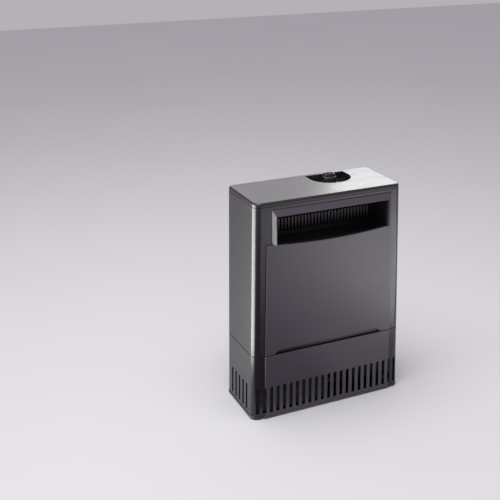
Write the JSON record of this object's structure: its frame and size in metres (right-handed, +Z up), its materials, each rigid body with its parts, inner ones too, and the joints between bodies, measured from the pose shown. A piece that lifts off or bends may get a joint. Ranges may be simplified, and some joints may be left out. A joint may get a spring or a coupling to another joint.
{
  "type": "internal power filter",
  "caption": "Low upright aquarium filter: slotted pump base, lift-off case with a waterfall window and comb, lid with a flow knob, two filter stages.",
  "frame": {"origin": "middle of the flat underside of the bottom cover, where the filter stands on the tank floor", "axes": "+Z up, -Y towards the front with the waterfall window, +X to the right of someone facing the front"},
  "size_m": [0.1648, 0.0803, 0.224],
  "materials": {
    "shell_plastic": "satin charcoal moulded plastic",
    "knob_plastic": "satin charcoal moulded plastic",
    "inner_plastic": "matt black moulded plastic",
    "pump_plastic": "satin black moulded plastic",
    "coarse_foam": "open-cell coarse black foam",
    "fine_foam": "white fine filter wool",
    "carbon_pad": "black carbon-filled pad",
    "black_rubber": "soft black rubber",
    "cup_rubber": "smoky soft PVC",
    "steel": "stainless screw",
    "lamination_steel": "stacked electrical steel",
    "copper_winding": "enamelled copper wire",
    "ferrite": "sintered ferrite magnet",
    "ceramic": "polished white ceramic"
  },
  "bodies": {
    "base": {"base_strainer": "shell_plastic", "bottom_cover": "shell_plastic", "chamber_floor": "inner_plastic", "coarse_foam": "coarse_foam", "pump_body": "pump_plastic", "pump_end_cap": "pump_plastic", "stator_core": "lamination_steel", "stator_coil": "copper_winding", "pump_cable_gland": "black_rubber", "pump_cover": "pump_plastic", "cover_screw_1": "steel", "cover_screw_2": "steel", "cover_screw_3": "steel", "cover_gasket": "black_rubber", "ceramic_shaft": "ceramic", "front_shaft_bush": "black_rubber", "rear_shaft_bush": "black_rubber", "pump_foot_1": "black_rubber", "pump_foot_2": "black_rubber", "pump_foot_3": "black_rubber", "pump_foot_4": "black_rubber", "riser_seal": "black_rubber", "valve_body": "inner_plastic", "media_basket": "inner_plastic", "basket_grid": "inner_plastic", "fine_foam": "fine_foam", "carbon_pad": "carbon_pad"},
    "rotor": {"rotor_magnet": "ferrite", "impeller": "pump_plastic"},
    "valve": {"valve_barrel": "knob_plastic"},
    "case": {"main_case": "shell_plastic", "front_panel": "shell_plastic", "outlet_hood": "shell_plastic", "spill_tray": "inner_plastic", "overflow_comb": "shell_plastic", "cable_grommet": "black_rubber", "suction_cup_1": "cup_rubber", "suction_cup_2": "cup_rubber", "suction_cup_3": "cup_rubber", "suction_cup_4": "cup_rubber"},
    "lid": {"lid": "shell_plastic"},
    "knob": {"flow_knob": "knob_plastic", "valve_rod": "inner_plastic"}
  },
  "joints": [
    {"name": "case_lift", "type": "slide", "parent": "base", "child": "case", "axis": [0, 0, 1], "range_m": [0, 0.16]},
    {"name": "lid_lift", "type": "slide", "parent": "case", "child": "lid", "axis": [0, 0, 1], "range_m": [0, 0.05]},
    {"name": "knob_turn", "type": "hinge", "parent": "lid", "child": "knob", "pos_m": [0.024, 0.0155, 0.213], "axis": [0, 0, 1], "range_deg": [-45, 45]},
    {"name": "valve_turn", "type": "hinge", "parent": "base", "child": "valve", "pos_m": [0.024, 0.0155, 0.0649], "axis": [0, 0, 1], "range_deg": [-90, 90]},
    {"name": "rotor_spin", "type": "hinge", "parent": "base", "child": "rotor", "pos_m": [0.05, 0.004, 0.028], "axis": [1, 0, 0], "continuous": true}
  ],
  "couplings": [
    {"joint": "valve_turn", "follows": "knob_turn", "ratio": 1}
  ]
}
